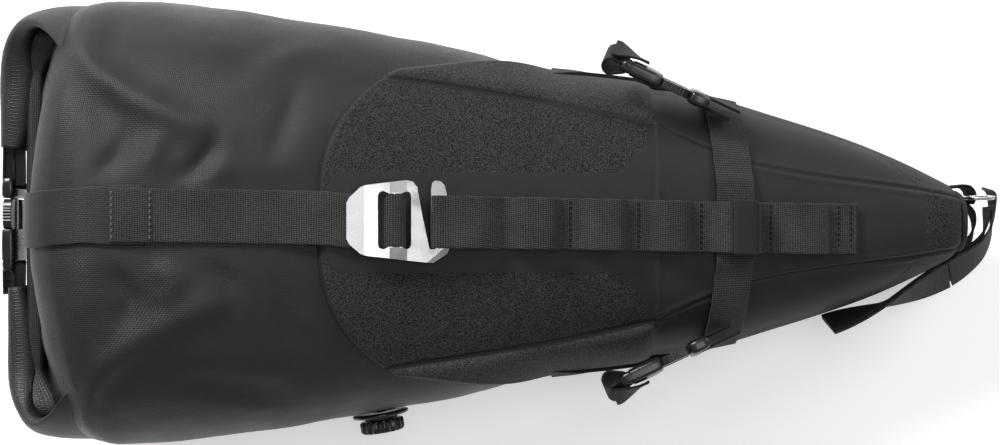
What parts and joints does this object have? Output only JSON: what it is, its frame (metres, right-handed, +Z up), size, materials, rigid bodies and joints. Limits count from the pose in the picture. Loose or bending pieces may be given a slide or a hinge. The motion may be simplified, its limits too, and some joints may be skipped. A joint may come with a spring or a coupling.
{
  "type": "saddle bag",
  "caption": "Roll-top bicycle saddle bag with moulded harness, laddered webbing, alloy strap hook, side-release buckles, air valve and seatpost strap.",
  "frame": {"origin": "centre of the bounding box's bottom face, where the bag lies on a surface", "axes": "+X from the roll closure to the seatpost end, +Y to the left of that, +Z up, away from the face the bag lies on"},
  "size_m": [0.4952, 0.2168, 0.1519],
  "materials": {
    "coated_fabric": "polyurethane-coated ripstop fabric, satin",
    "moulded_laminate": "moulded rubber-faced laminate, satin",
    "grained_laminate": "coarse-grained abrasion laminate, matt",
    "webbing": "woven nylon webbing",
    "keeper_fabric": "smooth coated tape",
    "acetal": "black moulded acetal, semi-gloss",
    "forged_alloy": "bead-blasted alloy with polished bevels",
    "polished_steel": "polished",
    "pad_rubber": "anti-slip rubber",
    "seal_rubber": "soft rubber",
    "loop_tape": "hook-and-loop tape pile",
    "stiffener_board": "polyethylene sheet"
  },
  "bodies": {
    "bag": {"bag_body": "coated_fabric", "harness_stiffener": "stiffener_board", "harness_shell": "moulded_laminate", "spine_panel": "moulded_laminate", "grain_panel_left": "grained_laminate", "grain_panel_right": "grained_laminate", "edge_ridge_left": "moulded_laminate", "edge_ridge_right": "moulded_laminate", "flank_panel_left": "grained_laminate", "flank_panel_right": "grained_laminate", "nose_patch": "grained_laminate", "nose_pad": "pad_rubber", "compression_strip": "coated_fabric", "ladder_base": "webbing", "ladder_loops": "webbing", "keeper": "keeper_fabric", "cross_strap": "webbing", "anchor_strap_left": "webbing", "anchor_strap_right": "webbing", "rail_web_left": "webbing", "rail_web_right": "webbing", "rail_left_male": "acetal", "rail_right_male": "acetal", "roll_bar": "coated_fabric", "roll_batten": "stiffener_board", "roll_end_left": "coated_fabric", "roll_end_right": "coated_fabric", "closure_strap_right": "webbing", "closure_female": "acetal", "valve_base": "acetal", "valve_seal": "seal_rubber", "ring_anchor": "webbing", "post_inner": "loop_tape"},
    "hook_end": {"hook": "forged_alloy", "compression_webbing": "webbing"},
    "closure_plug": {"closure_male": "acetal", "closure_strap_left": "webbing"},
    "closure_press_a": {"closure_arm_a": "acetal"},
    "closure_press_b": {"closure_arm_b": "acetal"},
    "rail_socket_left": {"rail_left_female": "acetal", "rail_loop_left": "webbing", "rail_tail_left": "webbing"},
    "rail_left_press_a": {"rail_left_arm_a": "acetal"},
    "rail_left_press_b": {"rail_left_arm_b": "acetal"},
    "rail_socket_right": {"rail_right_female": "acetal", "rail_loop_right": "webbing", "rail_tail_right": "webbing"},
    "rail_right_press_a": {"rail_right_arm_a": "acetal"},
    "rail_right_press_b": {"rail_right_arm_b": "acetal"},
    "valve_knob": {"valve_cap": "acetal"},
    "post_loop": {"post_ring": "polished_steel", "post_strap": "webbing", "post_lining": "loop_tape"},
    "post_end": {"post_tail": "webbing"}
  },
  "joints": [
    {"name": "hook_slide", "type": "slide", "parent": "bag", "child": "hook_end", "axis": [0, -1, 0], "range_m": [0, 0.033]},
    {"name": "closure_release", "type": "slide", "parent": "bag", "child": "closure_plug", "axis": [0, 1, 0], "range_m": [0, 0.013]},
    {"name": "closure_arm_a", "type": "hinge", "parent": "closure_plug", "child": "closure_press_a", "pos_m": [-0.24249, 0.0108, 0.0845], "axis": [1, 0, 0], "range_deg": [0, 7], "stiffness_Nm_per_rad": 0.3},
    {"name": "closure_arm_b", "type": "hinge", "parent": "closure_plug", "child": "closure_press_b", "pos_m": [-0.24249, 0.0108, 0.0675], "axis": [1, 0, 0], "range_deg": [-7, 0], "stiffness_Nm_per_rad": 0.3},
    {"name": "rail_left_release", "type": "slide", "parent": "bag", "child": "rail_socket_left", "axis": [-0.9073, 0.4206, 0], "range_m": [0, 0.013]},
    {"name": "rail_left_arm_a", "type": "hinge", "parent": "bag", "child": "rail_left_press_a", "pos_m": [0.08573, 0.06074, 0.10891], "axis": [-0.4164, -0.8982, -0.1409], "range_deg": [0, 7], "stiffness_Nm_per_rad": 0.3},
    {"name": "rail_left_arm_b", "type": "hinge", "parent": "bag", "child": "rail_left_press_b", "pos_m": [0.08673, 0.06291, 0.09209], "axis": [-0.4164, -0.8982, -0.1409], "range_deg": [-7, 0], "stiffness_Nm_per_rad": 0.3},
    {"name": "rail_right_release", "type": "slide", "parent": "bag", "child": "rail_socket_right", "axis": [-0.9073, -0.4206, 0], "range_m": [0, 0.013]},
    {"name": "rail_right_arm_a", "type": "hinge", "parent": "bag", "child": "rail_right_press_a", "pos_m": [0.08673, -0.06291, 0.09209], "axis": [-0.4164, 0.8982, -0.1409], "range_deg": [0, 7], "stiffness_Nm_per_rad": 0.3},
    {"name": "rail_right_arm_b", "type": "hinge", "parent": "bag", "child": "rail_right_press_b", "pos_m": [0.08573, -0.06074, 0.10891], "axis": [-0.4164, 0.8982, -0.1409], "range_deg": [-7, 0], "stiffness_Nm_per_rad": 0.3},
    {"name": "valve_twist", "type": "hinge", "parent": "bag", "child": "valve_knob", "pos_m": [-0.06323, -0.0943, 0.06298], "axis": [0.16, -0.9871, 0], "range_deg": [0, 90]},
    {"name": "post_loop_swing", "type": "hinge", "parent": "bag", "child": "post_loop", "pos_m": [0.23251, 0.0124, 0.048], "axis": [0, 0, 1], "range_deg": [0, 60]},
    {"name": "post_end_peel", "type": "hinge", "parent": "post_loop", "child": "post_end", "pos_m": [0.22431, -0.0267, 0.048], "axis": [0, 0, 1], "range_deg": [0, 50]}
  ],
  "couplings": [
    {"joint": "closure_arm_b", "follows": "closure_arm_a", "ratio": -1},
    {"joint": "rail_left_arm_b", "follows": "rail_left_arm_a", "ratio": -1},
    {"joint": "rail_right_arm_b", "follows": "rail_right_arm_a", "ratio": -1}
  ]
}
